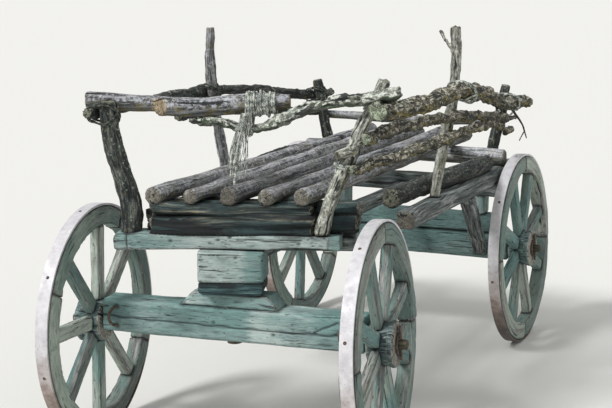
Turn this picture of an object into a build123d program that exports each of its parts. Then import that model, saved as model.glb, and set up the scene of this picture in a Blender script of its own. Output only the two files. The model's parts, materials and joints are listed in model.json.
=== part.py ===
from build123d import *
from math import cos, degrees, pi, radians, sin, tan
import os

os.makedirs("parts", exist_ok=True)

# Old four-wheeled wooden farm wagon. Millimetres, +Y to the rear, +X to the right, +Z up.
# It is laid out about the kingpin on the ground, and moved at the end so that the
# origin is the middle of its footprint.

# Stance
wheelbase = 1829.0
front_track = 1102.0
rear_track = 1125.0
steer_now = 6.4          # the front axle stands turned by this much, right wheel back
bunk_turn = 19.5         # and the loose front bolster above it by this much
gap = 0.3                # between pieces that seat on each other
run_gap = 0.8            # radial room of a wheel on its axle arm

# Wheels
wheel_radius = 440.0
tyre_width = 46.0
tyre_thickness = 8.0
felloe_depth = 74.0
felloe_width = 60.0
felloe_bevel = 14.0
felloe_count = 4
spoke_count = 8
spoke_rim_width = 50.0
spoke_hub_width = 56.0
spoke_rim_thickness = 42.0
spoke_hub_thickness = 34.0
spoke_edge = 4.0
dowel_radius = 13.0
dowel_length = 38.0
tenon_width = 30.0
tenon_length = 24.0
hub_radius = 78.0
hub_band_radius = 84.0
hub_band_width = 20.0
hub_outer = 62.0         # from the middle of the wheel to the hub's outer face
hub_inner = 40.0
arm_root_radius = 25.0
arm_tip_radius = 19.0
arm_reach = 100.0        # from the middle of the wheel to the arm's end
shoulder_gap = 8.0       # between hub and beam
washer_radius = 38.0
washer_thickness = 5.0
linchpin_width = 14.0
linchpin_thickness = 8.0
linchpin_length = 112.0

# Front axle
beam_bottom = 415.0
beam_height = 125.0
beam_depth = 120.0
beam_edge = 8.0
saddle_height = 50.0
saddle_foot = 380.0
saddle_top = 290.0
saddle_depth = 112.0
hook_radius = 36.0
hook_bar = 5.5
hook_inset = 60.0
hook_turn = 60.0
pin_radius = 13.0
pin_head_radius = 27.0
pin_head_height = 16.0

# Turntable blocks under the front bolster
pad_height = 51.0
pad_round = 28.0
lower_block_height = 57.0
upper_block_height = 53.0
block_length = 236.0
block_front = 97.5
block_back = 57.5
block_edge = 8.0

# Front bolster of two timbers side by side
bolster_left = 424.0
bolster_right = 391.0
bolster_height = 57.0
bolster_depth = 115.0
bolster_round = 20.0
arch_rise = 12.0
back_timber_left = 400.0
back_timber_right = 437.0
back_timber_depth = 132.0
back_timber_drop = 24.0
back_timber_height = 58.0

# Weathered sleepers on the bolster
sleeper_height = 67.0
plank_left = 292.0
plank_right = 288.0
plank_depth = 52.0
slab_left = 312.0
slab_right = 444.0
slab_depth = 190.0
slab_raised = 25.0
top_plank_half = 286.0
top_plank_height = 37.0
top_plank_depth = 150.0

# Rear axle and bolster
rear_beam_bottom = 385.0
rear_beam_height = 120.0
rear_beam_depth = 110.0
sand_board_height = 85.0
sand_board_inset = 53.0   # from the rails' outer faces to the sand board's ends
sand_board_depth = 96.0
post_width = 90.0
post_height = 92.0
post_place = 350.0
rear_bolster_height = 80.0
rear_bolster_inset = 3.0
rear_bolster_depth = 100.0

# Side rails, braces, reach and bed
rail_to_wheel = 54.5      # from a rail's outer face to the middle of the rear wheel
rail_width = 75.0
rail_height = 70.0
rail_front = 510.0
rail_rear_past = 190.0
rail_edge = 8.0
brace_width = 60.0
brace_thickness = 45.0
brace_rail_place = 1285.0
brace_foot_inset = 123.0
brace_foot_drop = 75.0
reach_width = 74.0
reach_height = 54.0
reach_front = 82.0
bearer_radius = 40.0
bearer_inset = 8.0
bed_rear_past = 170.0
middle_stake_place = 850.0
rear_stake_lean = 0.2
rear_stake_left_rise = 430.0
rear_stake_right_rise = 440.0
log_front_past = 50.0    # how far behind the rails' front ends the side logs start
log_rear_gap = 123.0     # and how far in front of the bearer they end
stake_tenon_radius = 12.0
stake_tenon_length = 36.0
pole_bite = 1.0          # how deep a pole has worn where it lies on another
short_span = 150.0       # an end of a pole shorter than this is straight
rope_width = 26.0
rope_thickness = 7.0

bunk = Rot(0, 0, bunk_turn)
steer = Rot(0, 0, steer_now)
spin_to_x = Rot(0, 90, 0)


def box(x_low, x_high, y_low, y_high, z_low, z_high):
    centre = ((x_low + x_high) / 2, (y_low + y_high) / 2, (z_low + z_high) / 2)
    return Pos(*centre) * Box(x_high - x_low, y_high - y_low, z_high - z_low)


def timber(x_low, x_high, y_low, y_high, z_low, z_high, along, edge):
    """A squared timber with its long edges hewn off."""
    block = box(x_low, x_high, y_low, y_high, z_low, z_high)
    return chamfer(block.edges().filter_by(along), edge)


def branch(knots):
    """A crooked pole through round sections, each (x, y, z, radius)."""
    points = [Vector(x, y, z) for x, y, z, radius in knots]
    sections = []
    for i, knot in enumerate(knots):
        before, after = points[max(i - 1, 0)], points[min(i + 1, len(points) - 1)]
        along = after - before
        aside = Vector(0, 0, 1) if abs(along.Z) < 0.7 * along.length else Vector(0, 1, 0)
        plane = Plane(origin=points[i], x_dir=aside.cross(along), z_dir=along)
        sections.append((plane * Circle(knot[3])).face())
    spans = [(after - before).length for before, after in zip(points, points[1:])]
    first = 1 if len(spans) > 2 and spans[0] < short_span else 0
    last = 1 if len(spans) > 2 and spans[-1] < short_span else 0
    pole = loft(sections[first:len(sections) - last])
    if first:
        pole += loft(sections[:2])
    if last:
        pole += loft(sections[-2:])
    return pole


# A wheel, modelled at the origin with its axle along X and its outer face towards +X
felloe_outer = wheel_radius - tyre_thickness - gap
felloe_inner = felloe_outer - felloe_depth
spoke_step = 360 / spoke_count
arm_root = -hub_inner - shoulder_gap


def arm_radius_at(x):
    """Radius of the tapered axle arm, x from the middle of the wheel."""
    share = (x - arm_root) / (arm_reach - arm_root)
    return arm_root_radius + (arm_tip_radius - arm_root_radius) * share


def tyre():
    ring = Cylinder(wheel_radius, tyre_width) - Cylinder(wheel_radius - tyre_thickness, tyre_width)
    return spin_to_x * ring


def felloes():
    """The wooden rim in equal bent segments, bored for the spokes' dowels."""
    half, narrow = felloe_width / 2, tyre_width / 2
    outline = Polyline(
        (felloe_inner, -half),
        (felloe_outer - felloe_bevel, -half),
        (felloe_outer, -narrow),
        (felloe_outer, narrow),
        (felloe_outer - felloe_bevel, half),
        (felloe_inner, half),
        close=True,
    )
    section = make_face(Plane.XZ * outline)
    step = 360 / felloe_count
    open_joint = degrees(gap / felloe_inner)
    segment = spin_to_x * revolve(section, Axis.Z, step - open_joint)
    segments = []
    for i in range(felloe_count):
        piece = Rot(step * i + spoke_step / 2, 0, 0) * segment
        for k in range(spoke_count):
            bore = Cylinder(dowel_radius + gap, dowel_length + 20)
            place = Pos(0, 0, felloe_inner + dowel_length / 2 - 10 + gap)
            piece -= Rot(spoke_step * k, 0, 0) * place * bore
        segments.append(piece)
    return segments


def spokes():
    """Spokes with a tenon in the hub and a dowel in the rim."""
    foot, head = hub_radius * 0.9, felloe_inner + 6
    lower = Pos(0, 0, foot) * Rectangle(spoke_hub_thickness, spoke_hub_width)
    upper = Pos(0, 0, head) * Rectangle(spoke_rim_thickness, spoke_rim_width)
    blade = loft([lower.face(), upper.face()])
    long_edges = [edge for edge in blade.edges() if edge.length > (head - foot) * 0.9]
    blade = chamfer(long_edges, spoke_edge)
    blade = blade & (spin_to_x * Cylinder(felloe_inner - gap, felloe_width * 2))
    blade = blade - (spin_to_x * Cylinder(hub_radius + gap, felloe_width * 2))
    half = spoke_hub_thickness / 2 - 4
    tenon = box(-half, half, -tenon_width / 2, tenon_width / 2,
                hub_radius - tenon_length, hub_radius + 8)
    dowel = Cylinder(dowel_radius, dowel_length)
    spoke = blade + tenon + Pos(0, 0, felloe_inner + dowel_length / 2 - 10) * dowel
    return [Rot(spoke_step * i, 0, 0) * spoke for i in range(spoke_count)]


def hub():
    """Turned nave with a raised end band, spoke sockets and a tapered bore."""
    outline = Polyline(
        (arm_radius_at(-hub_inner) + run_gap, -hub_inner),
        (hub_radius - 8, -hub_inner),
        (hub_radius, -hub_inner + 10),
        (hub_radius, hub_outer - hub_band_width),
        (hub_band_radius, hub_outer - hub_band_width),
        (hub_band_radius, hub_outer - 3),
        (hub_band_radius - 6, hub_outer),
        (arm_radius_at(hub_outer) + run_gap, hub_outer),
        close=True,
    )
    nave = spin_to_x * revolve(make_face(Plane.XZ * outline), Axis.Z)
    half = spoke_hub_thickness / 2 - 4 + gap
    socket = box(-half, half, -tenon_width / 2 - gap, tenon_width / 2 + gap,
                 hub_radius - tenon_length - gap, hub_radius + 10)
    for i in range(spoke_count):
        nave -= Rot(spoke_step * i, 0, 0) * socket
    return nave


def arm():
    """Axle arm, rooted in the beam and reaching out through the hub."""
    rooted = arm_root - 20
    taper = Cone(arm_radius_at(rooted), arm_tip_radius, arm_reach - rooted)
    slot = Box(linchpin_thickness + 2 * gap, linchpin_width + 2 * gap, wheel_radius)
    return Pos((rooted + arm_reach) / 2, 0, 0) * spin_to_x * taper - Pos(linchpin_place, 0, 0) * slot


linchpin_place = hub_outer + run_gap + washer_thickness + gap + linchpin_thickness / 2


def linchpin():
    """A washer against the hub and the flat pin that holds it on the arm."""
    bore = Cylinder(arm_radius_at(hub_outer) + gap, washer_thickness)
    washer = spin_to_x * (Cylinder(washer_radius, washer_thickness) - bore)
    washer = Pos(hub_outer + run_gap + washer_thickness / 2, 0, 0) * washer
    shank = Box(linchpin_thickness, linchpin_width, linchpin_length)
    eye = spin_to_x * Cylinder(linchpin_width * 0.9, linchpin_thickness)
    pin = shank + Pos(0, 0, linchpin_length / 2) * eye
    return [washer, Pos(linchpin_place, 0, 0) * pin]


# Where each wheel stands, how far its top leans to the left, and how far it has rolled back
wheel_stands = {
    "front_left": {"side": -1, "y": 0.0, "track": front_track, "lean": 1.0, "roll": 4, "turn": steer},
    "front_right": {"side": 1, "y": 0.0, "track": front_track, "lean": 2.7, "roll": 24, "turn": steer},
    "rear_left": {"side": -1, "y": wheelbase, "track": rear_track, "lean": 1.8, "roll": 9, "turn": Rot()},
    "rear_right": {"side": 1, "y": wheelbase, "track": rear_track, "lean": 1.8, "roll": 25, "turn": Rot()},
}


def wheel_place(name):
    """From the wheel's own frame to its stand; a leaning wheel rests on its lower tyre edge."""
    stand = wheel_stands[name]
    lean = radians(stand["lean"])
    height = wheel_radius * cos(lean) + tyre_width / 2 * sin(lean)
    place = Pos(stand["side"] * stand["track"] / 2, stand["y"], height)
    facing = Rot(0, 0, 0) if stand["side"] > 0 else Rot(0, 0, 180)
    return stand["turn"] * place * Rot(0, -stand["lean"], 0) * facing


nodes = {}
wheel_pieces = {"hub": [hub()], "spokes": spokes(), "felloes": felloes(), "tyre": [tyre()]}
for name, stand in wheel_stands.items():
    rolled = wheel_place(name) * Rot(-stand["side"] * stand["roll"], 0, 0)
    for piece, solids in wheel_pieces.items():
        nodes[f"{name}_{piece}"] = [rolled * solid for solid in solids]
for end in ("front", "rear"):
    nodes[f"{end}_linchpins"] = [
        wheel_place(f"{end}_{side}") * solid for side in ("left", "right") for solid in linchpin()
    ]

# Front axle: squared beam with its arms, saddle, shaft hooks and kingpin
beam_half = front_track / 2 + arm_root
beam_top = beam_bottom + beam_height
saddle_level = beam_top + saddle_height
seat = saddle_level + gap
lower_level = seat + pad_height
upper_level = lower_level + lower_block_height
bolster_level = upper_level + upper_block_height
bolster_top = bolster_level + bolster_height
pin_top = bolster_level + bolster_height * 0.6
pin_room = Pos(0, 0, pin_top) * Cylinder(pin_radius + gap, 2 * (pin_top - saddle_level))
pin_bore = Pos(0, 0, beam_top) * Cylinder(pin_radius + run_gap, 2 * (beam_height + saddle_height))

beam = timber(-beam_half, beam_half, -beam_depth / 2, beam_depth / 2,
              beam_bottom, beam_top, Axis.X, beam_edge)
beam = steer * (beam - pin_bore)
for name in ("front_left", "front_right"):
    beam += wheel_place(name) * arm()
nodes["front_axle_beam"] = [beam]

saddle_outline = Polyline(
    (-saddle_foot / 2, beam_top),
    (saddle_foot / 2, beam_top),
    (saddle_top / 2, saddle_level),
    (-saddle_top / 2, saddle_level),
    close=True,
)
saddle = extrude(make_face(Plane.XZ * saddle_outline), saddle_depth / 2, both=True)
nodes["front_saddle"] = [steer * (saddle - pin_bore)]


def shaft_hook(side):
    """Open iron hook on the beam's front face, for the shafts."""
    centre = Pos(side * (beam_half - hook_inset), -beam_depth / 2, beam_bottom + beam_height / 2)
    ring = Rot(0, 0, hook_turn) * Rot(90, 0, 0) * Torus(hook_radius, hook_bar)
    in_front = Pos(0, -hook_radius * 2, 0) * Box(*[hook_radius * 4] * 3)
    return steer * centre * (ring & in_front)


nodes["shaft_hooks"] = [shaft_hook(-1), shaft_hook(1)]

pin_shank_bottom = beam_bottom - run_gap
shank = Pos(0, 0, (pin_shank_bottom + pin_top) / 2) * Cylinder(pin_radius, pin_top - pin_shank_bottom)
head = Cylinder(pin_head_radius, pin_head_height)
nodes["kingpin"] = [shank + Pos(0, 0, pin_shank_bottom - pin_head_height / 2) * head]


def turntable_block(low, high):
    return box(-block_length / 2, block_length / 2, -block_front, block_back, low, high)


pad = turntable_block(seat, lower_level)
pad = fillet(pad.faces().sort_by(Axis.Z)[0].edges(), pad_round)
nodes["turntable_pad"] = [bunk * pad - pin_room]
nodes["turntable_blocks"] = []
for low, high in ((lower_level, upper_level), (upper_level, bolster_level)):
    block = turntable_block(low, high)
    block = chamfer(block.edges().filter_by(Axis.Z), block_edge)
    nodes["turntable_blocks"].append(bunk * block - pin_room)

# Stakes: knots of each axis, foot first. The front pair is measured along the bolster.
rear_top = rear_beam_bottom + rear_beam_height + sand_board_height + post_height + rear_bolster_height
rail_top = rear_top + rail_height
rail_outer = rear_track / 2 - rail_to_wheel
rail_middle = rail_outer - rail_width / 2
rear_foot = rail_outer - rail_width - 43
stake_knots = {
    "front_left": [
        (-368, -20, bolster_top, 36),
        (-367, -20, 917, 36),
        (-410, -20, 1069, 34),
        (-436, -20, 1177, 32),
        (-448, -20, 1278, 30),
    ],
    "front_right": [
        (320, -30.5, bolster_top, 26.5),
        (350, -30.5, 928, 26.5),
        (399, -30.5, 1047, 26),
        (450, -30.5, 1166, 24),
        (500, -30.5, 1268, 23),
        (539, -30.5, 1363, 22),
    ],
    "middle_left": [
        (-rail_middle, middle_stake_place, rail_top, 22),
        (-rail_middle - 58, middle_stake_place, 1185, 22),
        (-rail_middle - 74, middle_stake_place, 1330, 21),
        (-rail_middle - 67, middle_stake_place, 1492, 19),
    ],
    "middle_right": [
        (rail_middle, middle_stake_place, rail_top, 22),
        (rail_middle + 61, middle_stake_place, 1190, 22),
        (rail_middle + 78, middle_stake_place, 1333, 21),
        (rail_middle + 74, middle_stake_place, 1514, 20),
    ],
}
for name, side, rise in (("rear_left", -1, rear_stake_left_rise), ("rear_right", 1, rear_stake_right_rise)):
    stake_knots[name] = [
        (side * (rear_foot + rear_stake_lean * up), wheelbase, rear_top + up, radius)
        for up, radius in ((0, 25), (rise / 2, 25), (rise, 23))
    ]
for name in ("front_left", "front_right"):
    stake_knots[name] = [
        (*(bunk * Pos(x, y, z)).position, radius) for x, y, z, radius in stake_knots[name]
    ]


def tenon_at(name, room):
    """Tenon under a stake's foot, or with some room the bore that takes it."""
    x, y, z, radius = stake_knots[name][0]
    length = stake_tenon_length + room
    return Pos(x, y, z - length / 2) * Cylinder(stake_tenon_radius + room, length)


def stake(name):
    knots = stake_knots[name]
    foot, second = Vector(*knots[0][:3]), Vector(*knots[1][:3])
    below = foot + (foot - second).normalized() * 30
    shaft = branch([(below.X, below.Y, below.Z, knots[0][3]), *knots])
    under = Pos(foot.X, foot.Y, foot.Z - 60) * Box(200, 200, 120)
    return (shaft - under) + tenon_at(name, 0)


def along_bunk(knots):
    """Turn knots measured along the front bolster into knots of the whole wagon."""
    return [(*(bunk * Pos(x, y, z)).position, radius) for x, y, z, radius in knots]


stakes = {name: stake(name) for name in stake_knots}
# A cut side branch of the front right stake, and a twig near the top of the middle right one
stakes["front_right"] += branch(along_bunk([(436, -34, 1126, 14), (432, -96, 1134, 13)]))
stakes["middle_right"] += branch([
    (rail_middle + 74, middle_stake_place, 1402, 7),
    (rail_middle + 12, middle_stake_place, 1499, 6),
])
for place in ("front", "middle", "rear"):
    nodes[f"{place}_stakes"] = [stakes[f"{place}_left"], stakes[f"{place}_right"]]

# Front bolster and what lies on it
half_depth = bolster_depth / 2
front_timber = box(-bolster_left, bolster_right, -half_depth, half_depth, bolster_level, bolster_top)
upper_ends = front_timber.edges().filter_by(Axis.Y).group_by(Axis.Z)[-1]
front_timber = fillet(upper_ends.sort_by(Axis.X)[0], bolster_round)
arch_span = bolster_right - block_length / 2 - 10
arch_radius = (arch_span * arch_span / 4 + arch_rise * arch_rise) / (2 * arch_rise)
arch_middle = block_length / 2 + 5 + arch_span / 2
arch = Rot(90, 0, 0) * Cylinder(arch_radius, bolster_depth * 2)
front_timber -= Pos(arch_middle, 0, bolster_level + arch_rise - arch_radius) * arch
front_timber = bunk * front_timber - pin_room
for name in ("front_left", "front_right"):
    front_timber -= tenon_at(name, gap)
nodes["front_bolster"] = [front_timber]

back_low = bolster_level - back_timber_drop
nodes["bolster_back_timber"] = [bunk * timber(
    -back_timber_left, back_timber_right, half_depth, half_depth + back_timber_depth,
    back_low, back_low + back_timber_height, Axis.X, 5)]

plank_front = 4 - half_depth
plank_back = plank_front + plank_depth
slab_back = plank_back + slab_depth
sleeper_top = bolster_top + sleeper_height
bed_level = sleeper_top + top_plank_height
front_plank = box(-plank_left, plank_right, plank_front, plank_back, bolster_top, sleeper_top)
slab = box(-slab_left, slab_right, plank_back, slab_back, bolster_top, sleeper_top)
slab += box(top_plank_half + 15, slab_right, plank_back + 20, slab_back, sleeper_top,
            sleeper_top + slab_raised)
top_plank = box(-top_plank_half, top_plank_half, plank_front + 6,
                plank_front + 6 + top_plank_depth, sleeper_top, bed_level)
nodes["bolster_sleepers"] = [
    bunk * chamfer(front_plank.edges().filter_by(Axis.X), 5),
    bunk * slab,
    bunk * chamfer(top_plank.edges().filter_by(Axis.X), 4),
]

# Rear axle, its sand board and posts, and the rear bolster
rear_beam_half = rear_track / 2 + arm_root
rear_beam_top = rear_beam_bottom + rear_beam_height
post_level = rear_beam_top + sand_board_height
rear_bolster_low = post_level + post_height
rear_beam = Pos(0, wheelbase, 0) * timber(
    -rear_beam_half, rear_beam_half, -rear_beam_depth / 2, rear_beam_depth / 2,
    rear_beam_bottom, rear_beam_top, Axis.X, beam_edge)
for name in ("rear_left", "rear_right"):
    rear_beam += wheel_place(name) * arm()
nodes["rear_axle_beam"] = [rear_beam]

sand_board_half = rail_outer - sand_board_inset
rear_bolster_half = rail_outer - rear_bolster_inset
board_front, board_back = wheelbase - sand_board_depth / 2, wheelbase + sand_board_depth / 2
nodes["rear_sand_board"] = [
    box(-sand_board_half, sand_board_half, board_front, board_back, rear_beam_top, post_level)
]
nodes["rear_posts"] = [
    box(x - post_width / 2, x + post_width / 2, board_front, board_back, post_level, rear_bolster_low)
    for x in (-post_place, post_place)
]
rear_bolster = Pos(0, wheelbase, 0) * timber(
    -rear_bolster_half, rear_bolster_half, -rear_bolster_depth / 2, rear_bolster_depth / 2,
    rear_bolster_low, rear_top, Axis.X, 4)
for name in ("rear_left", "rear_right"):
    rear_bolster -= tenon_at(name, gap)
nodes["rear_bolster"] = [rear_bolster]

# Squared side rails with their knee braces, and the reach under the bed
rails = []
braces = []
for side, name in ((-1, "middle_left"), (1, "middle_right")):
    rail = timber(-rail_width / 2, rail_width / 2, rail_front, wheelbase + rail_rear_past,
                  rear_top, rail_top, Axis.Y, rail_edge)
    rails.append(Pos(side * rail_middle, 0, 0) * rail - tenon_at(name, gap))
    face_y = wheelbase - rear_beam_depth / 2
    upper = Vector(side * rail_middle, brace_rail_place, rear_top)
    lower = Vector(side * (rail_outer - brace_foot_inset), face_y, rear_beam_top - brace_foot_drop)
    line = lower - upper
    plane = Plane(origin=(upper + lower) / 2, x_dir=(1, 0, 0), z_dir=line)
    bar = plane.location * Box(brace_width, brace_thickness, line.length + 120)
    room = box(-rail_outer, rail_outer, 0, face_y, 0, rear_top)
    braces.append(bar & room)
nodes["side_rails"] = rails
nodes["knee_braces"] = braces

reach_back = wheelbase - rear_bolster_depth / 2
nodes["reach"] = [timber(-reach_width / 2, reach_width / 2, reach_front, reach_back,
                         back_low - reach_height, back_low, Axis.Y, 5)]

# Bed of round poles over the front sleepers and a rear bearer
bearer_place = wheelbase - 25 - bearer_radius - 1
bearer = spin_to_x * Cylinder(bearer_radius, 2 * (rail_outer - bearer_inset))
nodes["rear_bearer"] = [Pos(0, bearer_place, rail_top + gap + bearer_radius) * bearer]
bed_poles = {
    "far_left": {"x": -250, "front": 33, "rear": 28, "past": 0},
    "left": {"x": -126, "front": 30, "rear": 34, "past": 45},
    "middle": {"x": 4, "front": 34, "rear": 30, "past": -20},
    "right": {"x": 130, "front": 29, "rear": 33, "past": 30},
    "far_right": {"x": 252, "front": 32, "rear": 29, "past": -35},
}
bed_top = rail_top + gap + 2 * bearer_radius
poles = []
for pole in bed_poles.values():
    start = pole["x"] * tan(radians(bunk_turn)) - 55
    end = wheelbase + bed_rear_past + pole["past"]
    slope = (pole["rear"] - pole["front"]) / (end - start)
    plank_contact = pole["x"] * tan(radians(bunk_turn)) + 40
    level = bed_level + pole["front"] + slope * (plank_contact - start) + gap
    level_rear = bed_top + pole["front"] + slope * (bearer_place - start) + gap
    climb = (level_rear - level) / (bearer_place - plank_contact)
    poles.append(branch([
        (pole["x"], start, level + climb * (start - plank_contact), pole["front"]),
        (pole["x"], end, level + climb * (end - plank_contact), pole["rear"]),
    ]))
nodes["bed_poles"] = poles


def on_stake(name, height):
    """Axis point, direction and radius of a stake at a height."""
    knots = stake_knots[name]
    for low, high in zip(knots, knots[1:]):
        if height <= high[2] or high is knots[-1]:
            share = (height - low[2]) / (high[2] - low[2])
            foot, head = Vector(*low[:3]), Vector(*high[:3])
            direction = (head - foot).normalized()
            radius = low[3] + (high[3] - low[3]) * share
            return foot + (head - foot) * share, direction, radius


outward = {"left": Vector(-1, 0, 0), "right": Vector(1, 0, 0)}


def lay(knots, side):
    """Turn a side pole's knots into points and radii. A knot is (stake, height, radius, side)
    where the pole lies against that stake, or else (distance outside the rail, y, z, radius)."""
    placed = []
    for knot in knots:
        if isinstance(knot[0], str):
            point, direction, radius = on_stake(knot[0], knot[1])
            placed.append((*(point + outward[knot[3]] * (radius + knot[2])), knot[2]))
        else:
            placed.append((side * (rail_outer + knot[0]), *knot[1:]))
    for i, knot in enumerate(knots):
        if isinstance(knot[0], str):
            before, after = placed[max(i - 1, 0)], placed[min(i + 1, len(placed) - 1)]
            along = Vector(*after[:3]) - Vector(*before[:3])
            point, direction, radius = on_stake(knot[0], knot[1])
            away = direction.cross(along).normalized()
            away = away if away.dot(outward[knot[3]]) > 0 else away * -1
            placed[i] = (*(point + away * (radius + knot[2] - pole_bite)), knot[2])
    return placed


# Rack poles along the sides, lying against the outer side of the stakes
side_poles = {
    "right_top_pole": [
        (20, 70, 1264, 33),
        ("front_right", 1283, 32, "right"),
        (54, 486, 1254, 31),
        ("middle_right", 1270, 31, "right"),
        (71, wheelbase - 629, 1213, 29),
        ("rear_right", 1130, 27, "right"),
        (4, wheelbase + 261, 1098, 25),
    ],
    "right_middle_pole": [
        (-21, 62, 1163, 20),
        ("front_right", 1172, 20, "right"),
        (22, 520, 1176, 20),
        ("middle_right", 1168, 20, "right"),
        (45, wheelbase - 496, 1112, 18),
        ("rear_right", 1052, 17, "right"),
        (-16, wheelbase + 131, 1038, 15),
    ],
    "right_lower_pole": [
        (-67, 40, 1054, 20),
        ("front_right", 1064, 20, "right"),
        (-26, 400, 1062, 20),
        ("middle_right", 1096, 20, "right"),
        (45, wheelbase - 573, 1089, 19),
        ("rear_right", 994, 17, "right"),
        (-28, wheelbase + 96, 984, 15),
    ],
    "left_top_pole": [
        (-52, -235, 1246, 21),
        ("front_left", 1240, 22, "left"),
        (14, 210, 1229, 23),
        ("middle_left", 1222, 24, "left"),
        (72, wheelbase - 589, 1190, 24),
        ("rear_left", 1125, 23, "left"),
        (-2, wheelbase + 241, 1110, 21),
    ],
    "left_middle_pole": [
        (32, 560, 1142, 19),
        ("middle_left", 1136, 19, "left"),
        (40, wheelbase - 499, 1092, 18),
        ("rear_left", 1040, 17, "left"),
        (-20, wheelbase + 121, 1030, 15),
    ],
}
laid = {name: lay(knots, -1 if name.startswith("left") else 1) for name, knots in side_poles.items()}
side_solids = {}
for name, knots in side_poles.items():
    pole = branch(laid[name])
    for knot in knots:
        if isinstance(knot[0], str):
            pole -= stakes[knot[0]]
    side_solids[name] = pole
for side in ("left", "right"):
    nodes[f"{side}_rack_poles"] = [pole for name, pole in side_solids.items() if name.startswith(side)]

# Rough logs lying on the squared side rails, inside the middle stakes
side_logs = []
for side in (-1, 1):
    log_end = bearer_place - bearer_radius - log_rear_gap
    knots = [
        (rail_outer - 116, rail_front + log_front_past, 38),
        (rail_outer - 102, middle_stake_place, 39),
        (rail_outer - 68, log_end - 450, 40),
        (rail_outer - 46, log_end, 37),
    ]
    side_logs.append(branch([(side * x, y, rail_top + gap + r, r) for x, y, r in knots]))
nodes["side_logs"] = side_logs

# Front crossbar, measured along the bolster: a thin bar from the left stake, and the thick bar
# that lies against its front and is tied to the crooked branch
thin_bar_knots = [
    (-535, 42, 1281, 29),
    (-372, 40, 1271, 31),
    (-240, 61, 1264, 28),
    (-120, 70, 1262, 26),
    (0, 82, 1268, 24),
]
thick_bar_knots = [
    (-340, -4, 1264, 33),
    (-230, 2, 1262, 34),
    (-120, 12, 1258, 34),
    (42, 30, 1271, 34),
    (150, 30, 1278, 32),
    (207, 30, 1283, 25),
]
slant_cut = 40.0         # the thick bar's left end is sawn on the slant by this much
slant_middle = -263.0    # and this is where the cut crosses its axis
crooked_knots = [
    (-150, 13, 1213, 11),
    (-15, 6, 1205, 15),
    (110, -8, 1194, 18),
    (247, -47, 1253, 20),
    (400, -69, 1292, 21),
    (600, -73, 1332, 21),
]


sawn_off = Pos(slant_middle, 0, 1263) * Rot(0, 0, slant_cut) * Pos(-100, 0, 0) * Box(200, 300, 120)
thick_bar = branch(along_bunk(thick_bar_knots)) - bunk * sawn_off
thin_bar = branch(along_bunk(thin_bar_knots)) - thick_bar
thin_bar -= side_solids["left_top_pole"] + stakes["front_left"]
crooked = branch(along_bunk(crooked_knots)) - side_solids["right_top_pole"] - stakes["front_right"]
nodes["front_crossbar"] = [thin_bar, thick_bar]
nodes["front_crooked_branch"] = [crooked - thick_bar]
rear_y = wheelbase + 25 + 20 - pole_bite
rear_bar = branch([
    (-rail_outer + 50, rear_y, 1022, 20),
    (0, rear_y + 1, 1015, 21),
    (rail_outer - 46, rear_y, 1024, 20),
])
nodes["rear_crossbar"] = [rear_bar - stakes["rear_left"] - stakes["rear_right"]]


def lashing(name, pole_name, lean):
    """A rope band round a stake and the pole against it, across the crossing on the slant."""
    side_pole, knots = side_poles[pole_name], laid[pole_name]
    i = [knot[0] for knot in side_pole].index(name)
    point, direction, radius = on_stake(name, side_pole[i][1])
    before, after = knots[i - 1], knots[i + 1]
    along = (Vector(*after[:3]) - Vector(*before[:3])).normalized()
    pole = Vector(*knots[i][:3])
    pole_radius = knots[i][3]
    away = (pole - point).normalized()
    slant = (direction + along * lean).normalized()
    height_all = 2 * radius + 2 * pole_radius - 2 * pole_bite
    width_all = 2 * (1.5 * max(radius, pole_radius) + rope_width / 2 + 2)
    corner = min(radius, pole_radius)
    inner = RectangleRounded(width_all, height_all, corner)
    outer = RectangleRounded(width_all + 2 * rope_thickness, height_all + 2 * rope_thickness,
                             corner + rope_thickness)
    middle = point + away * (pole_radius - pole_bite / 2)
    plane = Plane(origin=middle, x_dir=slant, z_dir=slant.cross(away))
    band = extrude(plane * (outer - inner), rope_width / 2, both=True)
    return band - stakes[name] - side_solids[pole_name]


# Which stake is tied to which pole, and whether the rope leans with the pole or against it
tied = [
    ("front_left", "left_top_pole", -1),
    ("middle_left", "left_top_pole", 1),
    ("middle_right", "right_top_pole", 1),
    ("rear_left", "left_top_pole", 1),
    ("rear_right", "right_top_pole", 1),
]
nodes["rack_lashings"] = [lashing(*crossing) for crossing in tied]

# The rope that ties the branch under the crossbar, with its frayed tail
binding_x = 74.0
binding_width = 80.0
tail_radius = 5.0
tail_route = [(50, -30, 1243), (42, -45, 1190), (24, -46, 1090), (11, -46, 990)]
bound = {"bar": {"y": 30, "z": 1275, "radius": 37}, "stick": {"y": -4, "z": 1193, "radius": 26}}
hulls = []
for room in (0, rope_thickness):
    rings = [Pos(end["y"], end["z"]) * Circle(end["radius"] + room) for end in bound.values()]
    hulls.append(make_face(make_hull([edge for ring in rings for edge in ring.edges()])))
band_plane = Plane(origin=(binding_x, 0, 0), x_dir=(0, 1, 0), z_dir=(1, 0, 0))
band = extrude(band_plane * (hulls[1] - hulls[0]), binding_width / 2, both=True)


def rope_tube(route, radius):
    """A round rope of straight runs joined by arcs as large as the runs allow."""
    points = [Vector(*point) for point in route]
    runs = [after - before for before, after in zip(points, points[1:])]
    arcs = []
    for before, after in zip(runs, runs[1:]):
        shorter = min(before.length, after.length)
        arcs.append(0.45 * shorter / tan(radians(before.get_angle(after) / 2)))
    path = FilletPolyline(*points, radius=arcs)
    section = Plane(origin=points[0], z_dir=runs[0]) * Circle(radius)
    tube = sweep(section, path=path)
    share = tube.volume / (pi * radius * radius * path.length)
    print("rope length", round(path.length), "arc radii", [round(arc) for arc in arcs], "volume", round(share, 3))
    return tube


tail = bunk * rope_tube(tail_route, tail_radius)
nodes["front_binding"] = [bunk * band - thick_bar - crooked - tail]
nodes["rope_tail"] = [tail]

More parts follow.
